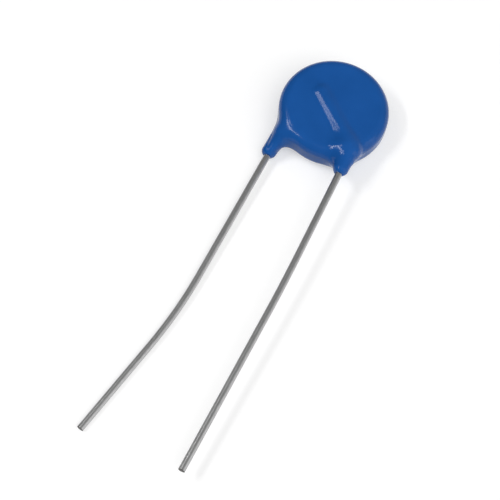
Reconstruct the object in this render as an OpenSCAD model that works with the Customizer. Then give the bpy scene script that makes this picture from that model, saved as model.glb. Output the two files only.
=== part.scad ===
// Disc varistor, 10 mm class: a zinc oxide disc with a silver layer on each
// face, a bent wire soldered across each silver layer, and a dipped coating.
// It lies on its back. +Z is up, the leads run toward -Y, Z = 0 is the surface
// that it rests on, and the origin is under the middle of the whole part.

/* [Ceramic disc] */
// Diameter of the zinc oxide disc
disc_d = 10.2; // [9.6:0.1:10.6]
// Thickness of the zinc oxide disc
disc_t = 2; // [1.4:0.1:2.6]
// Chamfer on both edges of the disc
disc_chamfer = 0.15; // [0.05:0.05:0.3]

/* [Electrodes] */
// Diameter of the silver layer on each face
electrode_d = 8.8; // [8:0.1:9.4]
// Thickness of the silver layer
electrode_t = 0.03; // [0.02:0.01:0.1]

/* [Lead wire] */
// Diameter of the tinned wire
wire_d = 0.76; // [0.6:0.02:0.86]
// Solder film between the wire and the silver layer
solder_film = 0.04; // [0.03:0.01:0.1]
// Angle between the soldered leg of each wire and the X axis
leg_angle = 39.4; // [34:0.2:46]
// Length of the soldered leg, from its free end to the knee
leg_len = 8.6; // [7:0.1:9.4]
// Distance of the knee below the centre of the disc
knee_drop = 4.7; // [4.3:0.1:5.1]
// Bend radius of the knee, on the wire's centre line
knee_r = 1.6; // [1:0.1:2.4]

/* [Front lead] */
// Distance of the front lead from the centre of the disc, at the knee
front_x = 3.92; // [3.6:0.02:4.4]
// Angle by which the front lead splays outward below the knee
front_splay = 1.2; // [0:0.05:3]
// Straight length of the front lead from the knee to its slow bend
front_upper = 13.8; // [10:0.1:18]
// Angle of the slow bend, turning inward
front_bend = 1.9; // [0.5:0.05:8]
// Radius of the slow bend
front_bend_r = 225; // [80:5:260]
// Straight length of the front lead below the slow bend
front_lower = 19.1; // [6:0.1:24]

/* [Back lead] */
// Distance of the back lead from the centre of the disc, at the knee
back_x = 4.42; // [3.9:0.02:4.7]
// Angle by which the back lead splays outward below the knee
back_splay = 0.6; // [0:0.05:3]
// Straight length of the back lead from the knee to its bend
back_upper = 19.5; // [14:0.1:24]
// Angle of the bend, turning outward
back_bend = 10; // [2:0.1:20]
// Radius of the bend
back_bend_r = 55.5; // [20:0.5:80]
// Straight length of the back lead below the bend
back_lower = 11.6; // [6:0.1:20]

/* [Solder] */
// Width of the solder mound on the silver layer
solder_w = 2; // [1.4:0.1:2.4]
// Height of the solder mound above the silver layer
solder_h = 0.5; // [0.3:0.05:0.6]
// Length of wire that the solder leaves bare at the free end
solder_inset = 0.5; // [0.2:0.1:1.5]
// Length of the solder mound along the wire
solder_len = 6; // [4:0.1:6.6]

/* [Coating] */
// Diameter of the coated body
coat_d = 12.5; // [12.2:0.1:13.4]
// Thickness of the coating on the faces of the ceramic disc
face_coat = 0.85; // [0.75:0.05:1.2]
// Fall of the coated face from its middle to its rim
face_fall = 0.08; // [0:0.02:0.3]
// Radius of the edge between face and rim
edge_r = 1.2; // [1:0.05:1.5]
// Thickness of the coating over the soldered legs
ridge_coat = 0.15; // [0.1:0.05:0.4]
// Radius across the ridge at the free end of a leg
ridge_r = 1.7; // [1.2:0.1:2]
// Width over which a ridge runs into the face
ridge_web = 0.5; // [0.3:0.1:0.8]
// Radius of the neck of coating on each lead
neck_r = 0.87; // [0.75:0.01:1.05]
// Radius of the neck at its open end
lip_r = 0.52; // [0.46:0.02:0.6]
// Length over which a neck narrows to its open end
neck_taper = 0.64; // [0.4:0.02:1.2]
// Shift of both open ends toward the back lead's side
neck_shift = 0.07; // [0:0.01:0.12]
// Reach of the front neck below the centre of the disc
front_reach = 7.4; // [6.8:0.05:8]
// Reach of the back neck below the centre of the disc
back_reach = 7.75; // [6.8:0.05:8]
// Width over which a neck runs into the body
web = 1.9; // [1.2:0.05:2.2]
// Depth of a neck's root below the wire's axis, toward the middle of the disc
root_depth = 1.15; // [0.6:0.05:1.4]
// Distance of a neck's root inward from its lead
root_inset = 0.4; // [0:0.05:0.6]

/* [Hidden] */
$fn = 96;
EPS = 0.01;
SPOKES = 112;
FACE_RINGS = 15;
EDGE_RINGS = 9;
RINGS = FACE_RINGS + EDGE_RINGS;
SCANS = 240;
NECK_DENSITY = 1.6;
SPOKE_TURN = 0.5;
SPOKE_STRAIGHT = 60;
SPOKE_FADE = 24;
plan_y = 3;
bend_thinning = 0.004;
bend_lap = 0.05;
wire_r = wire_d / 2;
coat_r = coat_d / 2;
face_z = disc_t / 2 + electrode_t;
lead_z = face_z + solder_film + wire_r;
half_t = disc_t / 2 + face_coat;
neck_h = half_t + wire_d;
ridge_z = lead_z + wire_r + ridge_coat;
root_drop = 0.54;
rim_foot_in = 0.9;
rim_foot_turn = 11;
knee_cut = 0.15;

function clamp(v, low, high) = min(max(v, low), high);
function heading(a) = [cos(a), sin(a)];
function smooth_min(a, b, k) = min(a, b) - pow(max(k - abs(a - b), 0), 2) / (4 * k);
function smooth_max(a, b, k) = -smooth_min(-a, -b, k);

// Places along a lead, drawn for a lead on the +X side
function knee_turn(splay) = 90 - leg_angle - splay;
function knee_tangent(splay) = knee_r * tan(knee_turn(splay) / 2);
function knee_point(x) = [x, -knee_drop];
function leg_end(x) = knee_point(x) - leg_len * heading(-leg_angle);
function leg_stop(x, splay) = knee_point(x) - knee_tangent(splay) * heading(-leg_angle);
function drop_start(x, splay) = knee_point(x) + knee_tangent(splay) * heading(splay - 90);
function knee_middle(x, splay) =
    leg_stop(x, splay)
    + 2 * knee_r * sin(knee_turn(splay) / 4) * heading(-leg_angle - knee_turn(splay) / 4);
function lead_tip(x, splay, upper, bend, bend_r, lower) =
    knee_point(x) + upper * heading(splay - 90)
    + 2 * bend_r * sin(abs(bend) / 2) * heading(splay - 90 + bend / 2)
    + lower * heading(splay - 90 + bend);

front_tip = lead_tip(front_x, front_splay, front_upper, -front_bend, front_bend_r, front_lower);
back_tip = lead_tip(back_x, back_splay, back_upper, back_bend, back_bend_r, back_lower);

// Depth of a point under a rod's surface, which widens from radius a_r at a to b_r at b
function rod_depth(p, a, b, a_r, b_r) =
    let (
        run = b - a,
        t = clamp((p - a) * run / (run * run), 0, 1)
    )
    norm(p - a - t * run) - a_r - (b_r - a_r) * t;

function body_depth(p) =
    let (
        rho = norm([p.x, p.y]),
        out = rho - (coat_r - edge_r),
        up = abs(p.z) - (half_t - edge_r) + face_fall * pow(rho / coat_r, 2)
    )
    norm([max(out, 0), max(up, 0)]) + min(max(out, up), 0) - edge_r;

// Places of the coating round one lead, drawn for a lead on the +X side: leg end,
// leg stop, knee middle, drop start, a place far below the neck, root and open end
function below_knee(x, splay, drop) = [x + drop * tan(splay), -knee_drop - drop];
function coat_route(x, splay, reach, shift) = [
    concat(leg_end(x), lead_z),
    concat(leg_stop(x, splay), lead_z),
    concat(knee_middle(x, splay), lead_z),
    concat(drop_start(x, splay), lead_z),
    concat(below_knee(x, splay, 2 * reach), lead_z),
    concat(below_knee(x - root_inset, splay, root_drop), lead_z - root_depth),
    concat(below_knee(x + shift, splay, reach - knee_drop), lead_z)
];
front_route = coat_route(front_x, front_splay, front_reach, -neck_shift);
back_route = coat_route(back_x, back_splay, back_reach, neck_shift);

// The ridge over a soldered leg: it narrows and rises from the free end to the knee
function ridge_depth(p, route) =
    let (
        run = route[1] - route[0],
        t = clamp((p - route[0]) * run / (run * run), 0, 1),
        r = ridge_r + (neck_r - ridge_r) * t,
        top = ridge_z + (lead_z + neck_r - ridge_z) * t * t,
        middle = route[0] + t * run
    )
    norm(p - [middle.x, middle.y, top - r]) - r;

// The neck on a lead: it follows the knee, runs down the wire from its root on the
// rim, and narrows to an open end that is cut square
function neck_radius(height) =
    neck_r - (neck_r - lip_r) * pow(1 - clamp(height / neck_taper, 0, 1), 2);
function neck_depth(p, route, reach, shift) =
    let (
        past = clamp((-knee_drop - p.y) / (reach - knee_drop), 0, 1),
        neck = rod_depth(p - [shift * past, 0, 0], route[3], route[4], 0, 0)
    )
    smooth_max(
        min(
            rod_depth(p, route[1], route[2], neck_r, neck_r),
            rod_depth(p, route[2], route[3], neck_r, neck_r),
            rod_depth(p, route[5], route[6], neck_r, lip_r),
            neck - neck_radius(p.y + reach)
        ),
        -reach - p.y,
        knee_cut
    );

// Depth of the coating's surface above or below a point: negative inside
function coat_depth(x, y, z) =
    let (
        p = [x, y, z],
        q = [-x, y, -z],
        front_neck = neck_depth(p, front_route, front_reach, -neck_shift),
        back_neck = neck_depth(q, back_route, back_reach, neck_shift),
        body = smooth_min(smooth_min(body_depth(p), front_neck, web), back_neck, web),
        front_half = smooth_min(body, ridge_depth(p, front_route), ridge_web)
    )
    smooth_min(front_half, ridge_depth(q, back_route), ridge_web);

// Where f crosses zero between low, inside, and high, outside: halving first,
// then straight lines between the last two values
function crossing(f, low, high, f_low, f_high, n = 9) =
    let (
        m = n > 4 ? (low + high) / 2 : (low * f_high - high * f_low) / (f_high - f_low),
        f_m = f(m)
    )
    n == 0 ? m :
    f_m < 0 ? crossing(f, m, high, f_m, f_high, n - 1) :
    crossing(f, low, m, f_low, f_m, n - 1);

// Height at which the vertical line at x, y is deepest in the coating
LEVELS = [for (k = [-3 : 3]) k / 3 * (lead_z + wire_r)];
function deepest(x, y) =
    norm([x, y]) < coat_r - edge_r ? 0 :
    let (
        depths = [for (z = LEVELS) coat_depth(x, y, z)],
        i = clamp(search(min(depths), depths)[0], 1, len(LEVELS) - 2),
        before = depths[i - 1] - depths[i],
        after = depths[i + 1] - depths[i],
        shift = before + after > 0 ? (before - after) / (before + after) / 2 : 0
    )
    LEVELS[i] + clamp(shift, -1, 1) * (LEVELS[1] - LEVELS[0]);

// Seen from above, the surface is drawn along spokes from a point on +Y. Angles are
// from -Y. Below the knees the spokes turn to run more along the leads.
function spoke_turn(a) =
    let (t = clamp((SPOKE_STRAIGHT - abs(a)) / SPOKE_FADE, 0, 1))
    a * (1 - SPOKE_TURN * t * t * (3 - 2 * t));
function plan_point(a, r) =
    let (
        bend_at = (plan_y + knee_drop) / max(cos(a), 1 / 4),
        b = spoke_turn(a)
    )
    [0, plan_y]
    + min(r, bend_at) * [sin(a), -cos(a)]
    + max(r - bend_at, 0) * [sin(b), -cos(b)];
function plan_depth(a, r) =
    let (p = plan_point(a, r))
    coat_depth(p.x, p.y, deepest(p.x, p.y));
function outline_r(a) =
    let (far = plan_y + back_reach + front_reach)
    crossing(function(r) plan_depth(a, r), 0, far, plan_depth(a, 0), plan_depth(a, far));

// Height of the coating's surface above a point inside it, or below it
function surface_z(x, y, side) =
    let (
        low = deepest(x, y),
        high = low + side * neck_h,
        f_low = min(coat_depth(x, y, low), -EPS / 100)
    )
    crossing(function(z) coat_depth(x, y, z), low, high, f_low, coat_depth(x, y, high));

// Spokes at even steps along the outline, closer together round the necks
function outline_step(p, q) = norm(q - p) * (p.y < -knee_drop ? NECK_DENSITY : 1);
function running_sum(steps, i = 0, total = 0) =
    i == len(steps) ? [total] :
    concat([total], running_sum(steps, i + 1, total + steps[i]));
function outline_spokes() =
    let (
        angles = [for (k = [0 : SCANS]) -180 + 360 * k / SCANS],
        edge = [for (a = angles) plan_point(a, outline_r(a))],
        travel = running_sum([for (i = [0 : SCANS - 1]) outline_step(edge[i], edge[i + 1])]),
        angle_at = [for (i = [0 : SCANS]) [travel[i], angles[i]]]
    )
    [for (k = [0 : SPOKES - 1])
        let (a = lookup(travel[SCANS] * k / SPOKES, angle_at))
        [a, outline_r(a)]];

// Rings of points from the middle of the front face out to the outline, then back
// in over the back face. The inner rings follow the round body, and the outer rings
// step round the rounded edge and out along the necks.
function body_r(a) = plan_y * cos(a) + sqrt(pow(coat_r, 2) - pow(plan_y * sin(a), 2));
function ring_r(spoke, k) =
    let (face = body_r(spoke[0]) - edge_r)
    k <= FACE_RINGS ? face * k / FACE_RINGS :
    face + (spoke[1] - face) * sin(90 * (k - FACE_RINGS) / EDGE_RINGS);
function ring_point(spoke, k, side) =
    let (p = plan_point(spoke[0], ring_r(spoke, k)))
    [p.x, p.y, side == 0 ? deepest(p.x, p.y) : surface_z(p.x, p.y, side)];
function skin_points(spokes) =
    concat(
        [[0, plan_y, surface_z(0, plan_y, 1)]],
        [for (k = [1 : 2 * RINGS - 1], s = spokes)
            ring_point(s, min(k, 2 * RINGS - k), sign(RINGS - k))],
        [[0, plan_y, surface_z(0, plan_y, -1)]]
    );
function skin_index(k, s) = 1 + k * SPOKES + s % SPOKES;
function skin_faces() =
    let (last = 2 * RINGS - 2, each_spoke = [0 : SPOKES - 1])
    concat(
        [for (s = each_spoke) [0, skin_index(0, s + 1), skin_index(0, s)]],
        [for (k = [0 : last - 1], s = each_spoke)
            each [
                [skin_index(k, s), skin_index(k, s + 1), skin_index(k + 1, s)],
                [skin_index(k, s + 1), skin_index(k + 1, s + 1), skin_index(k + 1, s)]
            ]],
        [for (s = each_spoke) [skin_index(last + 1, 0), skin_index(last, s), skin_index(last, s + 1)]]
    );

// How the part rests: on the coating under the back knee, on the far side of the rim
// and on the tip of the back lead
function under_coat(p) = [-p.x, p.y, surface_z(-p.x, p.y, -1)];
knee_foot = under_coat(leg_stop(back_x, back_splay));
rim_foot = under_coat((coat_r - rim_foot_in * edge_r) * heading(180 + rim_foot_turn));
tip_foot = [-back_tip.x, back_tip.y, -lead_z - wire_r];
ground = cross(knee_foot - tip_foot, rim_foot - tip_foot);
up = ground / norm(ground) * sign(ground.z);
rest_tilt = atan2(up.y, up.z);
rest_roll = -asin(up.x);

function turned(p) =
    let (
        y = p.y * cos(rest_tilt) - p.z * sin(rest_tilt),
        z = p.y * sin(rest_tilt) + p.z * cos(rest_tilt)
    )
    [p.x * cos(rest_roll) + z * sin(rest_roll), y, z * cos(rest_roll) - p.x * sin(rest_roll)];

rest_x = -(turned([coat_r, 0, 0]).x + turned(tip_foot).x - wire_r) / 2;
rest_y = -(turned([0, coat_r, 0]).y + turned(tip_foot).y - wire_r) / 2;
rest_z = -turned(knee_foot).z;

module at_rest() {
    translate([rest_x, rest_y, rest_z]) rotate([rest_tilt, rest_roll, 0]) children();
}

// A bend laps into the straight runs at both ends, a little thinner than they are
module wire_bend(turn, r) {
    lap = bend_lap / r * 180 / PI;
    translate([0, r, 0])
        rotate([0, 0, -90 - lap])
            rotate_extrude(angle = turn + 2 * lap)
                translate([r, 0]) circle(wire_r - bend_thinning);
}

// A wire along +X: each step is a straight run, then a turn at a bend radius
module bent_wire(steps, i = 0) {
    run = steps[i][0];
    turn = steps[i][1];
    r = steps[i][2];
    rotate([0, 90, 0]) cylinder(r = wire_r, h = run);
    if (i < len(steps) - 1)
        translate([run, 0, 0]) {
            if (turn < 0) mirror([0, 1, 0]) wire_bend(-turn, r);
            if (turn > 0) wire_bend(turn, r);
            translate([r * sin(abs(turn)), sign(turn) * r * (1 - cos(turn)), 0])
                rotate([0, 0, turn]) bent_wire(steps, i + 1);
        }
}

module lead(x, splay, upper, bend, bend_r, lower) {
    tangent = knee_tangent(splay);
    start = leg_end(x);
    translate([start.x, start.y, 0])
        rotate([0, 0, -leg_angle])
            bent_wire([
                [leg_len - tangent, -knee_turn(splay), knee_r],
                [upper - tangent, bend, bend_r],
                [lower, 0, 0]
            ]);
}

module front_wire() {
    translate([0, 0, lead_z])
        lead(front_x, front_splay, front_upper, -front_bend, front_bend_r, front_lower);
}

module back_wire() {
    translate([0, 0, -lead_z])
        mirror([1, 0, 0])
            lead(back_x, back_splay, back_upper, back_bend, back_bend_r, back_lower);
}

module disc_form() {
    r = disc_d / 2;
    h = disc_t / 2;
    rotate_extrude()
        polygon([
            [0, -h],
            [r - disc_chamfer, -h],
            [r, -h + disc_chamfer],
            [r, h - disc_chamfer],
            [r - disc_chamfer, h],
            [0, h]
        ]);
}

module electrode_form(side) {
    translate([0, 0, side > 0 ? disc_t / 2 : -face_z])
        cylinder(d = electrode_d, h = electrode_t);
}

// A long mound on the silver layer, with round ends, under and beside the leg
module solder_mound(x) {
    r = (pow(solder_w / 2, 2) + pow(solder_h, 2)) / (2 * solder_h);
    start = leg_end(x);
    difference() {
        translate([start.x, start.y, face_z + solder_h - r])
            rotate([0, 0, -leg_angle])
                translate([solder_inset, 0, 0]) {
                    rotate([0, 90, 0]) cylinder(r = r, h = solder_len);
                    sphere(r);
                    translate([solder_len, 0, 0]) sphere(r);
                }
        translate([-coat_d, -coat_d, face_z - coat_d]) cube([2 * coat_d, 2 * coat_d, coat_d]);
    }
}

module front_mound() {
    solder_mound(front_x);
}

module back_mound() {
    rotate([0, 180, 0]) solder_mound(back_x);
}

module coat_form() {
    polyhedron(skin_points(outline_spokes()), skin_faces(), convexity = 4);
}

module coating() {
    color([0.1, 0.31, 0.6])
        at_rest()
            difference() {
                coat_form();
                disc_form();
                electrode_form(1);
                electrode_form(-1);
                front_mound();
                back_mound();
                front_wire();
                back_wire();
            }
}

module ceramic_disc() {
    color([0.3, 0.3, 0.32]) at_rest() disc_form();
}

module front_electrode() {
    color([0.85, 0.85, 0.83]) at_rest() electrode_form(1);
}

module back_electrode() {
    color([0.85, 0.85, 0.83]) at_rest() electrode_form(-1);
}

module front_lead() {
    color([0.62, 0.62, 0.63]) at_rest() front_wire();
}

module back_lead() {
    color([0.62, 0.62, 0.63]) at_rest() back_wire();
}

module front_solder() {
    color([0.75, 0.76, 0.78])
        at_rest()
            difference() {
                front_mound();
                front_wire();
            }
}

module back_solder() {
    color([0.75, 0.76, 0.78])
        at_rest()
            difference() {
                back_mound();
                back_wire();
            }
}

coating();
ceramic_disc();
front_electrode();
back_electrode();
front_lead();
back_lead();
front_solder();
back_solder();
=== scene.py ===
import math

import bpy
import numpy as np
from mathutils import Matrix, Vector


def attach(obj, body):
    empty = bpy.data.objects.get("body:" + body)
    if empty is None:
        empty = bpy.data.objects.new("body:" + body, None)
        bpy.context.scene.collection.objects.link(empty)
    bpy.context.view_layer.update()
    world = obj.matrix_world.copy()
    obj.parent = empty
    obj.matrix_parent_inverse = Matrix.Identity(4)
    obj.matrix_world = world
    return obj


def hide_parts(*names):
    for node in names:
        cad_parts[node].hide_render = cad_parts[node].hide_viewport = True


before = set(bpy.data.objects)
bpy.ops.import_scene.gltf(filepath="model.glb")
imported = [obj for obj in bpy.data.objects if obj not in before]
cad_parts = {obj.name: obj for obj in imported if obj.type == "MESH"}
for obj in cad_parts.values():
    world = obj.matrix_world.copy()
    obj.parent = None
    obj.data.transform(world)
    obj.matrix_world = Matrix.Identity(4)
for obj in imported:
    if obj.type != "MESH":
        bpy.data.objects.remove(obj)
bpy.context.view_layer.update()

MM = 0.001

# ---------------------------------------------------------------- sizes, in mm
# The same values as the CAD model, apart from SEEN_RIDGE. X runs to the right
# across the disc, Y away from the leads, Z out of the front face; the middle of
# the disc is the origin. AT_REST takes these axes to the frame, in metres.

DISC_T, ELECTRODE_T, SOLDER_FILM, WIRE_D = 2.0, 0.03, 0.04, 0.76
LEG_ANGLE, LEG_LEN, KNEE_DROP, KNEE_R = 39.4, 8.6, 4.7, 1.6
FRONT = dict(
    x=3.92, splay=1.2, upper=13.8, bend=-1.9, bend_r=225.0, lower=19.1,
    reach=7.4, side=1, shift=-0.07,
)
BACK = dict(
    x=4.42, splay=0.6, upper=19.5, bend=10.0, bend_r=55.5, lower=11.6,
    reach=7.75, side=-1, shift=0.07,
)
COAT_D, FACE_COAT, FACE_FALL, EDGE_R = 12.5, 0.85, 0.08, 1.2
RIDGE_COAT, RIDGE_R, RIDGE_WEB = 0.15, 1.7, 0.5
NECK_R, LIP_R, NECK_TAPER, WEB, KNEE_CUT = 0.87, 0.52, 0.64, 1.9, 0.15
ROOT_DEPTH, ROOT_INSET, ROOT_DROP = 1.15, 0.4, 0.54
RIM_FOOT_IN, RIM_FOOT_TURN = 0.9, 11

# The front ridge as drawn: its ends moved across and along the leg, its upper
# end narrower and its top a little higher, as the light on it in the photo shows
SEEN_RIDGE = dict(end_shift=0.6, stop_shift=0.62, along=0.4, end_r=1.0, rise=0.12)

WIRE_R = WIRE_D / 2
COAT_R = COAT_D / 2
HALF_T = DISC_T / 2 + FACE_COAT
LEAD_Z = DISC_T / 2 + ELECTRODE_T + SOLDER_FILM + WIRE_R
RIDGE_Z = LEAD_Z + WIRE_R + RIDGE_COAT

# ------------------------------------------------------------------ the leads


def heading(degrees):
    return np.array([math.cos(math.radians(degrees)), math.sin(math.radians(degrees))])


def knee_turn(lead):
    """Angle of a lead's knee, and the length from its corner to where it bends."""
    turn = 90 - LEG_ANGLE - lead["splay"]
    return turn, KNEE_R * math.tan(math.radians(turn / 2))


def knee_parts(lead):
    """Leg end, leg stop, knee middle and drop start of a lead, drawn on +X."""
    turn, tangent = knee_turn(lead)
    knee = np.array([lead["x"], -KNEE_DROP])
    stop = knee - tangent * heading(-LEG_ANGLE)
    half_chord = 2 * KNEE_R * math.sin(math.radians(turn / 4))
    middle = stop + half_chord * heading(-LEG_ANGLE - turn / 4)
    end = knee - LEG_LEN * heading(-LEG_ANGLE)
    return end, stop, middle, knee + tangent * heading(lead["splay"] - 90)


def lead_line(lead, step=0.25):
    """Points along the middle of a lead, from the leg's free end to the tip."""
    turn, tangent = knee_turn(lead)
    point = knee_parts(lead)[0]
    angle = -LEG_ANGLE
    runs = [
        (LEG_LEN - tangent, -turn, KNEE_R),
        (lead["upper"] - tangent, lead["bend"], lead["bend_r"]),
        (lead["lower"], 0, 1),
    ]
    points = [point]
    for run, bend, radius in runs:
        n = max(int(run / step), 1)
        points += [point + heading(angle) * run * k / n for k in range(1, n + 1)]
        point = points[-1]
        arc = math.radians(abs(bend)) * radius
        n = max(int(arc / min(step, radius / 12)), 1)
        for _ in range(n if bend else 0):
            chord = 2 * radius * math.sin(math.radians(abs(bend)) / n / 2)
            point = point + chord * heading(angle + bend / n / 2)
            angle += bend / n
            points.append(point)
    side = lead["side"]
    return np.array([[side * p[0], p[1], side * LEAD_Z] for p in points])


# ------------------------------------------------- the coating, as in the CAD
# Each depth is below zero inside the form. A lead's own forms are drawn on +X
# and +Z, and the back lead's are turned over.


def smooth_min(a, b, k):
    return np.minimum(a, b) - np.maximum(k - np.abs(a - b), 0) ** 2 / (4 * k)


def smooth_max(a, b, k):
    return -smooth_min(-a, -b, k)


def rod_distance(x, y, z, a, b):
    """Distance from the line between a and b, and how far along it."""
    run = b - a
    along = (x - a[0]) * run[0] + (y - a[1]) * run[1] + (z - a[2]) * run[2]
    t = np.clip(along / (run @ run), 0, 1)
    dx, dy, dz = (p - a[k] - t * run[k] for k, p in enumerate((x, y, z)))
    return np.sqrt(dx ** 2 + dy ** 2 + dz ** 2), t


def body_depth(x, y, z):
    rho = np.hypot(x, y)
    out = rho - (COAT_R - EDGE_R)
    up = np.abs(z) - (HALF_T - EDGE_R) + FACE_FALL * (rho / COAT_R) ** 2
    corner = np.hypot(np.maximum(out, 0), np.maximum(up, 0))
    return corner + np.minimum(np.maximum(out, up), 0) - EDGE_R


def ridge_depth(x, y, z, lead, end_shift=0.0, stop_shift=0.0, along=0.0, end_r=RIDGE_R, rise=0.0):
    """The coating over a soldered leg: a ridge that narrows and rises to the knee."""
    end, stop, _, _ = knee_parts(lead)
    across, down = heading(90 - LEG_ANGLE), along * heading(-LEG_ANGLE)
    end, stop = end + end_shift * across + down, stop + stop_shift * across + down
    run = stop - end
    t = np.clip(((x - end[0]) * run[0] + (y - end[1]) * run[1]) / (run @ run), 0, 1)
    radius = end_r + (NECK_R - end_r) * t
    top = RIDGE_Z + rise + (LEAD_Z + NECK_R - RIDGE_Z - rise) * t**2
    dx, dy, dz = x - end[0] - t * run[0], y - end[1] - t * run[1], z - top + radius
    return np.sqrt(dx ** 2 + dy ** 2 + dz ** 2) - radius


def neck_depth(x, y, z, lead):
    """The neck: round the knee, down the wire from a root on the rim, cut square."""
    _, stop, middle, drop = knee_parts(lead)
    reach, shift = lead["reach"], lead["shift"]
    spread = math.tan(math.radians(lead["splay"]))
    stop, middle, drop = (np.append(p, LEAD_Z) for p in (stop, middle, drop))
    first, second = (rod_distance(x, y, z, *ends)[0] for ends in ((stop, middle), (middle, drop)))
    knee = np.minimum(first, second) - NECK_R
    height = y + reach
    radius = NECK_R - (NECK_R - LIP_R) * (1 - np.clip(height / NECK_TAPER, 0, 1)) ** 2
    below = np.array([lead["x"] + 2 * reach * spread, -KNEE_DROP - 2 * reach, LEAD_Z])
    past = np.clip((-KNEE_DROP - y) / (reach - KNEE_DROP), 0, 1)
    neck = rod_distance(x - shift * past, y, z, drop, below)[0] - radius
    foot_x = lead["x"] - ROOT_INSET + ROOT_DROP * spread
    foot = np.array([foot_x, -KNEE_DROP - ROOT_DROP, LEAD_Z - ROOT_DEPTH])
    lip = np.array([lead["x"] + shift + (reach - KNEE_DROP) * spread, -reach, LEAD_Z])
    root, t = rod_distance(x, y, z, foot, lip)
    root -= NECK_R + (LIP_R - NECK_R) * t
    return smooth_max(np.minimum(np.minimum(knee, neck), root), -height, KNEE_CUT)


def coat_depth(x, y, z, **front_ridge):
    d = smooth_min(body_depth(x, y, z), neck_depth(x, y, z, FRONT), WEB)
    d = smooth_min(d, neck_depth(-x, y, -z, BACK), WEB)
    d = smooth_min(d, ridge_depth(x, y, z, FRONT, **front_ridge), RIDGE_WEB)
    return smooth_min(d, ridge_depth(-x, y, -z, BACK), RIDGE_WEB)


def seen_coat(x, y, z):
    return coat_depth(x, y, z, **SEEN_RIDGE)


# ------------------------------------------------ rest place, as in the CAD
# The part lies on the back ridge's knee, the body's rim and the back lead's tip.

HALVINGS = 40


def lowest_coat(x, y):
    low, high = -HALF_T - WIRE_D, 0.0
    for _ in range(HALVINGS):
        z = (low + high) / 2
        if coat_depth(x, y, z) < 0:
            high = z
        else:
            low = z
    return high


def under_coat(x, y):
    return Vector((-x, y, lowest_coat(-x, y)))


knee_foot = under_coat(*knee_parts(BACK)[1])
rim_foot = under_coat(*((COAT_R - RIM_FOOT_IN * EDGE_R) * heading(180 + RIM_FOOT_TURN)))
back_tip = lead_line(BACK)[-1]
tip_foot = Vector((back_tip[0], back_tip[1], -LEAD_Z - WIRE_R))
up = (knee_foot - tip_foot).cross(rim_foot - tip_foot).normalized()
up *= math.copysign(1, up.z)
roll, tilt = -math.asin(up.x), math.atan2(up.y, up.z)
TURNED = Matrix.Rotation(roll, 3, "Y") @ Matrix.Rotation(tilt, 3, "X")
rest = Vector((
    -((TURNED @ Vector((COAT_R, 0, 0))).x + (TURNED @ tip_foot).x - WIRE_R) / 2,
    -((TURNED @ Vector((0, COAT_R, 0))).y + (TURNED @ tip_foot).y - WIRE_R) / 2,
    -(TURNED @ knee_foot).z,
))
AT_REST = Matrix.Translation(rest * MM) @ (TURNED * MM).to_4x4()


def to_row(points):
    m = np.array(AT_REST)
    return points @ m[:3, :3].T + m[:3, 3]


# ------------------------------------------------------------------- mesh code


def add_object(name, data):
    obj = bpy.data.objects.new(name, data)
    bpy.context.scene.collection.objects.link(obj)
    return obj


def add_mesh(name, points, faces, normals=None, uv=None):
    mesh = bpy.data.meshes.new(name)
    mesh.from_pydata(points.tolist(), [], faces)
    mesh.update()
    mesh.polygons.foreach_set("use_smooth", np.ones(len(mesh.polygons), bool))
    if uv is not None:
        layer = mesh.uv_layers.new(name="run")
        index = np.zeros(len(mesh.loops), np.int32)
        mesh.loops.foreach_get("vertex_index", index)
        layer.data.foreach_set("uv", uv[index].astype(np.float32).ravel())
    if normals is not None:
        mesh.normals_split_custom_set_from_vertices(normals.tolist())
    return add_object(name, mesh)


def gradient(f, p, e=1e-3):
    g = np.empty_like(p)
    for k in range(3):
        d = np.zeros(3)
        d[k] = e
        g[:, k] = (f(*(p + d).T) - f(*(p - d).T)) / (2 * e)
    return g


def surface_net(f, low, high, h):
    """Quads on the surface f = 0, one point in each grid cell that it crosses."""
    axes = [np.arange(low[k], high[k] + h, h) for k in range(3)]
    grid = f(*np.meshgrid(*axes, indexing="ij"))
    inside = grid < 0
    nx, ny, nz = (s - 1 for s in grid.shape)
    corners = [(i, j, k) for i in (0, 1) for j in (0, 1) for k in (0, 1)]
    total = np.zeros((nx, ny, nz, 3))
    count = np.zeros((nx, ny, nz))
    for a in corners:
        for axis in range(3):
            if a[axis]:
                continue
            b = tuple(1 if k == axis else a[k] for k in range(3))
            fa = grid[a[0]:a[0] + nx, a[1]:a[1] + ny, a[2]:a[2] + nz]
            fb = grid[b[0]:b[0] + nx, b[1]:b[1] + ny, b[2]:b[2] + nz]
            cross = (fa < 0) != (fb < 0)
            t = np.where(cross, fa / np.where(cross, fa - fb, 1), 0)
            for k in range(3):
                total[..., k] += np.where(cross, a[k] + (t if k == axis else 0), 0)
            count += cross
    cells = np.argwhere(count > 0)
    at = tuple(cells.T)
    number = -np.ones((nx, ny, nz), int)
    number[at] = np.arange(len(cells))
    points = (cells + total[at] / count[at][:, None]) * h + np.array([a[0] for a in axes])
    faces = []
    for axis in range(3):
        u, v = [k for k in range(3) if k != axis]
        sl_a = [slice(1, -1)] * 3
        sl_b = [slice(1, -1)] * 3
        sl_a[axis], sl_b[axis] = slice(0, -1), slice(1, None)
        ina, inb = inside[tuple(sl_a)], inside[tuple(sl_b)]
        for flip, where in ((axis == 1, ina & ~inb), (axis != 1, ~ina & inb)):
            c = np.argwhere(where)
            c[:, u] += 1
            c[:, v] += 1
            du, dv = np.zeros(3, int), np.zeros(3, int)
            du[u], dv[v] = 1, 1
            ring = [c - du - dv, c - dv, c, c - du]
            quad = np.stack([number[tuple(q.T)] for q in ring], 1)
            faces.append(quad[:, ::-1] if flip else quad)
    return points, np.concatenate(faces)


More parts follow.
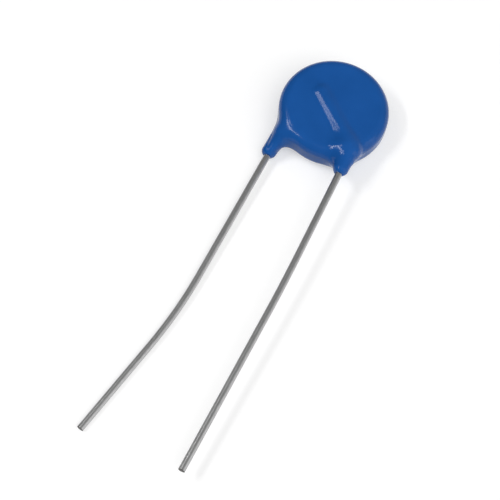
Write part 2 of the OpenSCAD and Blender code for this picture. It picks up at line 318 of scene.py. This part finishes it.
def snapped(f, points, turns=4):
    """Points moved onto the surface f = 0, and the surface's normals there."""
    for _ in range(turns):
        g = gradient(f, points)
        points = points - (f(*points.T) / np.maximum((g * g).sum(1), 0.2))[:, None] * g
    g = gradient(f, points)
    return points, g / np.linalg.norm(g, axis=1)[:, None]


# -------------------------------------------------------------------- coating

NET_STEP, SIDE_ROOM, FACE_ROOM = 0.1, 0.4, 0.3

longest_reach = max(FRONT["reach"], BACK["reach"])
net_top = HALF_T + WIRE_D + FACE_ROOM
net_low = np.array([-COAT_R - SIDE_ROOM, -longest_reach - SIDE_ROOM, -net_top])
net_high = np.array([COAT_R + SIDE_ROOM, COAT_R + SIDE_ROOM, net_top])
coat_points, coat_faces = surface_net(seen_coat, net_low, net_high, NET_STEP)
coat_points, coat_normals = snapped(seen_coat, coat_points)
coat_normals = coat_normals @ np.array(TURNED).T
coat = add_mesh("coat_skin", to_row(coat_points), coat_faces.tolist(), coat_normals)
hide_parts("coating")
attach(coat, "root")

# ---------------------------------------------------------------------- leads

AROUND = 48
CUT = 0.05
# Rings at a cut end: how far back from the tip and how far in, in cuts
CUT_RINGS = ((1.4, 0), (1, 0), (0.3, 0.3), (0, 1))


def lead_tube(name, lead, node):
    line = lead_line(lead)
    tangent = np.gradient(line, axis=0)
    tangent /= np.linalg.norm(tangent, axis=1)[:, None]
    up = np.array([0, 0, 1.0])
    across = np.cross(tangent, up)
    travel = np.r_[0, np.cumsum(np.linalg.norm(np.diff(line, axis=0), axis=1))]
    rings = [(line[i], across[i], WIRE_R, travel[i]) for i in range(len(line) - 1)]
    rings += [
        (line[-1] - tangent[-1] * CUT * back, across[-1], WIRE_R - CUT * inward,
         travel[-1] - CUT * back)
        for back, inward in CUT_RINGS
    ]
    points, uv = [], []
    for middle, out, radius, run in rings:
        for k in range(AROUND):
            a = 2 * math.pi * k / AROUND
            points.append(middle + radius * (math.cos(a) * out + math.sin(a) * up))
            uv.append((k / AROUND, run))
    start, tip = len(points), len(points) + 1
    points += [line[0], line[-1]]
    uv += [(0.5, travel[0]), (0.5, travel[-1])]

    around = [(k, (k + 1) % AROUND) for k in range(AROUND)]
    rim = (len(rings) - 1) * AROUND
    faces = [[start, k, n] for k, n in around]
    for r in range(0, rim, AROUND):
        faces += [[r + k, r + AROUND + k, r + AROUND + n, r + n] for k, n in around]
    faces += [[rim + k, tip, rim + n] for k, n in around]
    tube = add_mesh(name, to_row(np.array(points)), faces, uv=np.array(uv))
    ends = np.zeros(len(faces), np.int32)
    ends[-(len(CUT_RINGS) - 1) * AROUND:] = 1
    tube.data.polygons.foreach_set("material_index", ends)
    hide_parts(node)
    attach(tube, "root")
    return tube


front_tube = lead_tube("front_wire", FRONT, "front_lead")
back_tube = lead_tube("back_wire", BACK, "back_lead")

# ------------------------------------------------------------------ materials


def add_node(tree, kind, links=(), values=(), **settings):
    """A node with its links, its input values and its settings."""
    made = tree.nodes.new(kind)
    for key, value in settings.items():
        setattr(made, key, value)
    for key, value in dict(values).items():
        made.inputs[key].default_value = value
    for key, source in dict(links).items():
        tree.links.new(source, made.inputs[key])
    return made


def add_ramp(tree, source, stops):
    made = add_node(tree, "ShaderNodeValToRGB", {"Fac": source})
    for element, (place, colour) in zip(made.color_ramp.elements, stops):
        element.position = place
        element.color = (*colour, 1)
    return made.outputs["Color"]


class Shader:
    """A Principled material and short ways to add nodes to it."""

    def __init__(self, name):
        self.material = bpy.data.materials.new(name)
        self.material.use_nodes = True
        self.tree = self.material.node_tree
        self.bsdf = next(n for n in self.tree.nodes if n.type == "BSDF_PRINCIPLED")

    def node(self, kind, links=(), values=(), **settings):
        return add_node(self.tree, kind, links, values, **settings)

    def place(self):
        return self.node("ShaderNodeTexCoord").outputs["Object"]

    def noise(self, where, scale, detail, roughness):
        values = {"Scale": scale, "Detail": detail, "Roughness": roughness}
        return self.node("ShaderNodeTexNoise", {"Vector": where}, values).outputs["Fac"]

    def bump(self, height, strength, distance):
        values = {"Strength": strength, "Distance": distance}
        return self.node("ShaderNodeBump", {"Height": height}, values).outputs["Normal"]

    def ramp(self, source, low, high):
        return add_ramp(self.tree, source, ((0.3, low), (0.7, high)))

    def link(self, output, key):
        self.tree.links.new(output, self.bsdf.inputs[key])

    def set(self, values):
        for key, value in values.items():
            self.bsdf.inputs[key].default_value = value


# Faint ripples where a neck runs out on its lead: their middle is so far up from
# the lip, in mm, and they fade between two distances from it, in metres
RIPPLE_UP, RIPPLE_FULL, RIPPLE_GONE, RIPPLE_STRENGTH = 0.7, 0.001, 0.002, 0.22


def epoxy():
    s = Shader("blue_epoxy")
    where = s.place()
    cloud = s.noise(where, 260.0, 3.0, 0.5)
    s.link(s.ramp(cloud, (0.0055, 0.074, 0.29), (0.0075, 0.084, 0.325)), "Base Color")
    normal = s.bump(s.noise(where, 900.0, 2.0, 0.45), 0.12, 0.00003)
    ripple = s.noise(where, 3200.0, 1.0, 0.4)
    for lead in (FRONT, BACK):
        side, spread = lead["side"], math.tan(math.radians(lead["splay"]))
        x = lead["x"] + (lead["reach"] - KNEE_DROP) * spread
        lip = AT_REST @ Vector((side * x, RIPPLE_UP - lead["reach"], side * LEAD_Z))
        away = s.node("ShaderNodeVectorMath", {0: where}, {1: lip}, operation="DISTANCE")
        near = s.node(
            "ShaderNodeMapRange", {"Value": away.outputs["Value"]},
            {"From Min": RIPPLE_FULL, "From Max": RIPPLE_GONE,
             "To Min": RIPPLE_STRENGTH, "To Max": 0.0},
            interpolation_type="SMOOTHSTEP",
        )
        links = {"Height": ripple, "Strength": near.outputs["Result"], "Normal": normal}
        normal = s.node("ShaderNodeBump", links, {"Distance": 0.00012}).outputs["Normal"]
    s.link(normal, "Normal")
    s.set({"Roughness": 0.17, "Metallic": 0.0, "IOR": 1.5, "Specular IOR Level": 0.22})
    return s.material


def tinned():
    s = Shader("tinned_wire")
    run = s.node("ShaderNodeUVMap", uv_map="run").outputs["UV"]
    stretch = s.node("ShaderNodeMapping", {"Vector": run}, {"Scale": (14.0, 0.35, 1.0)})
    streak = s.noise(stretch.outputs["Vector"], 3.0, 4.0, 0.6)
    s.link(s.ramp(streak, (0.4,) * 3, (0.6,) * 3), "Base Color")
    s.link(s.ramp(streak, (0.42,) * 3, (0.3,) * 3), "Roughness")
    s.link(s.bump(streak, 0.2, 0.00002), "Normal")
    s.set({"Metallic": 1.0, "Specular Tint": (0.45, 0.45, 0.45, 1)})
    return s.material


def plain(name, low, high, rough, metallic, scale):
    s = Shader(name)
    grain = s.noise(s.place(), scale, 4.0, 0.6)
    s.link(s.ramp(grain, low, high), "Base Color")
    s.link(s.bump(grain, 0.3, 0.00002), "Normal")
    s.set({"Roughness": rough, "Metallic": metallic})
    return s.material


def wear(obj, *materials):
    """The object's only materials; its faces keep the number of their own."""
    index = np.zeros(len(obj.data.polygons), np.int32)
    obj.data.polygons.foreach_get("material_index", index)
    obj.data.materials.clear()
    for material in materials:
        obj.data.materials.append(material)
    obj.data.polygons.foreach_set("material_index", index)


wear(coat, epoxy())
wire_finish = tinned()
cut_finish = plain("cut_end", (0.1, 0.098, 0.095), (0.2, 0.195, 0.19), 0.6, 1.0, 4000.0)
for tube in (front_tube, back_tube):
    wear(tube, wire_finish, cut_finish)
ceramic = plain("fired_ceramic", (0.05, 0.05, 0.055), (0.09, 0.09, 0.095), 0.6, 0.0, 5000.0)
silver = plain("fired_silver", (0.68, 0.67, 0.64), (0.8, 0.79, 0.76), 0.45, 1.0, 8000.0)
solder = plain("solder", (0.5, 0.5, 0.52), (0.62, 0.62, 0.64), 0.3, 1.0, 1500.0)
for name, finish in (
    ("ceramic_disc", ceramic), ("front_electrode", silver), ("back_electrode", silver),
    ("front_solder", solder), ("back_solder", solder),
):
    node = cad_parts[name]
    for slot in node.material_slots:
        slot.material = finish
    if not node.material_slots:
        node.data.materials.append(finish)

# --------------------------------------------------------------------- camera
# As fitted to the photo's outline: turns in degrees and shift in mm, from the
# disc's axes to a view with X right, Y down and Z ahead; focal length in pixels.

CAMERA_TURN = (-22.094, 7.387, 25.664)
CAMERA_SHIFT = (9.441, -15.544, 170.59)
FOCAL_PIXELS, PICTURE_PIXELS, SENSOR = 1504.87, 500, 36

rx, ry, rz = (math.radians(a) for a in CAMERA_TURN)
flip = Matrix.Diagonal((1, -1, -1))
turn = Matrix.Rotation(rz, 3, "Z") @ Matrix.Rotation(ry, 3, "Y") @ Matrix.Rotation(rx, 3, "X")
to_camera = flip @ turn @ flip
eye = -(to_camera.transposed() @ (flip @ Vector(CAMERA_SHIFT)))
lens = bpy.data.cameras.new("camera")
lens.sensor_width = SENSOR
lens.lens = FOCAL_PIXELS * SENSOR / PICTURE_PIXELS
lens.clip_start, lens.clip_end = 0.01, 5
camera = add_object("camera", lens)
camera.matrix_world = (
    Matrix.Translation(AT_REST @ eye) @ (TURNED @ to_camera.transposed()).to_4x4()
)
bpy.context.scene.camera = camera

# ------------------------------------------------------------- floor and light
# The floor takes light and shadow, and glows as well where the camera, metal or
# gloss looks at it, so that it reads as white without more light on the part.

FLOOR_HALF, FLOOR_Z, FLOOR_GREY, FLOOR_GLOW = 1, -2e-5, 0.6, 0.44
# The world's grey toward -X and +X, each with its place from 0 to 1
SKY = ((0.15, (0.13,) * 3), (0.85, (0.42,) * 3))

signs = ((-1, -1), (1, -1), (1, 1), (-1, 1))
corners = [(FLOOR_HALF * x, FLOOR_HALF * y, FLOOR_Z) for x, y in signs]
mesh = bpy.data.meshes.new("floor")
mesh.from_pydata(corners, [], [(0, 1, 2, 3)])
floor = add_object("floor", mesh)
paper = bpy.data.materials.new("white_floor")
paper.use_nodes = True
tree = paper.node_tree
tree.nodes.clear()
path = add_node(tree, "ShaderNodeLightPath").outputs
rays = (path["Is Camera Ray"], path["Is Glossy Ray"], path["Is Transmission Ray"])
seen = rays[0]
for ray in rays[1:]:
    seen = add_node(tree, "ShaderNodeMath", {0: seen, 1: ray}, operation="MAXIMUM").outputs[0]
level = add_node(tree, "ShaderNodeMath", {0: seen}, {1: FLOOR_GLOW}, operation="MULTIPLY")
glow = add_node(tree, "ShaderNodeEmission", {"Strength": level.outputs[0]})
matt = add_node(tree, "ShaderNodeBsdfDiffuse", (), {"Color": (*(FLOOR_GREY,) * 3, 1)})
both = add_node(tree, "ShaderNodeAddShader", {0: glow.outputs[0], 1: matt.outputs[0]})
add_node(tree, "ShaderNodeOutputMaterial", {"Surface": both.outputs[0]})
floor.data.materials.append(paper)

world = bpy.data.worlds.new("world")
bpy.context.scene.world = world
world.use_nodes = True
tree = world.node_tree
way = add_node(tree, "ShaderNodeTexCoord").outputs["Generated"]
parts = add_node(tree, "ShaderNodeSeparateXYZ", {0: way})
side = add_node(tree, "ShaderNodeMapRange", {"Value": parts.outputs["X"]}, {"From Min": -1.0})
sky = add_ramp(tree, side.outputs["Result"], SKY)
tree.links.new(sky, tree.nodes["Background"].inputs["Color"])


def direction(azimuth, elevation):
    a, e = math.radians(azimuth), math.radians(elevation)
    return Vector((math.cos(e) * math.cos(a), math.cos(e) * math.sin(a), math.sin(e)))


def softbox(name, azimuth, elevation, distance, width, height, radiance, turn=0.0):
    """An area light aimed at the disc, at a direction given in the disc's own axes."""
    way = direction(azimuth, elevation)
    light = bpy.data.lights.new(name, "AREA")
    light.shape = "RECTANGLE"
    light.size, light.size_y = width, height
    light.energy = radiance * width * height * math.pi
    obj = add_object(name, light)
    obj.location = AT_REST @ Vector((0, 0, 0)) + TURNED @ way * distance
    obj.rotation_mode = "QUATERNION"
    aim = way.to_track_quat("Z", "Y") @ Matrix.Rotation(math.radians(turn), 3, "Z").to_quaternion()
    obj.rotation_quaternion = TURNED.to_quaternion() @ aim
    return obj


def light_bar(name, start, end, distance, height, radiance):
    """A long light whose middle line runs between two directions."""
    a, b = direction(*start), direction(*end)
    way = (a + b).normalized()
    azimuth, elevation = math.degrees(math.atan2(way.y, way.x)), math.degrees(math.asin(way.z))
    line = (b / b.dot(way) - a / a.dot(way)) * distance
    across = Vector((-way.y, way.x, 0)).normalized()
    turn = math.degrees(math.atan2(line.dot(way.cross(across)), line.dot(across)))
    return softbox(name, azimuth, elevation, distance, line.length, height, radiance, turn)


# The ridge's streak, the arc at the left shoulder, the right side, and soft fill
light_bar("ridge_bar", (172, 59), (-172, 55), 0.5, 0.07, 9.5)
light_bar("left_bar", (-177, 42), (-160, 49), 0.5, 0.055, 17.0)
light_bar("front_bar", (-160, 49), (-136, 47), 0.5, 0.055, 17.0)
softbox("right_box", -10, 25, 0.6, 0.5, 0.4, 0.9)
fill = softbox("fill_box", -40, 62, 0.6, 0.5, 0.5, 2.5)
fill.visible_glossy = False

bpy.context.scene.view_settings.view_transform = "Standard"
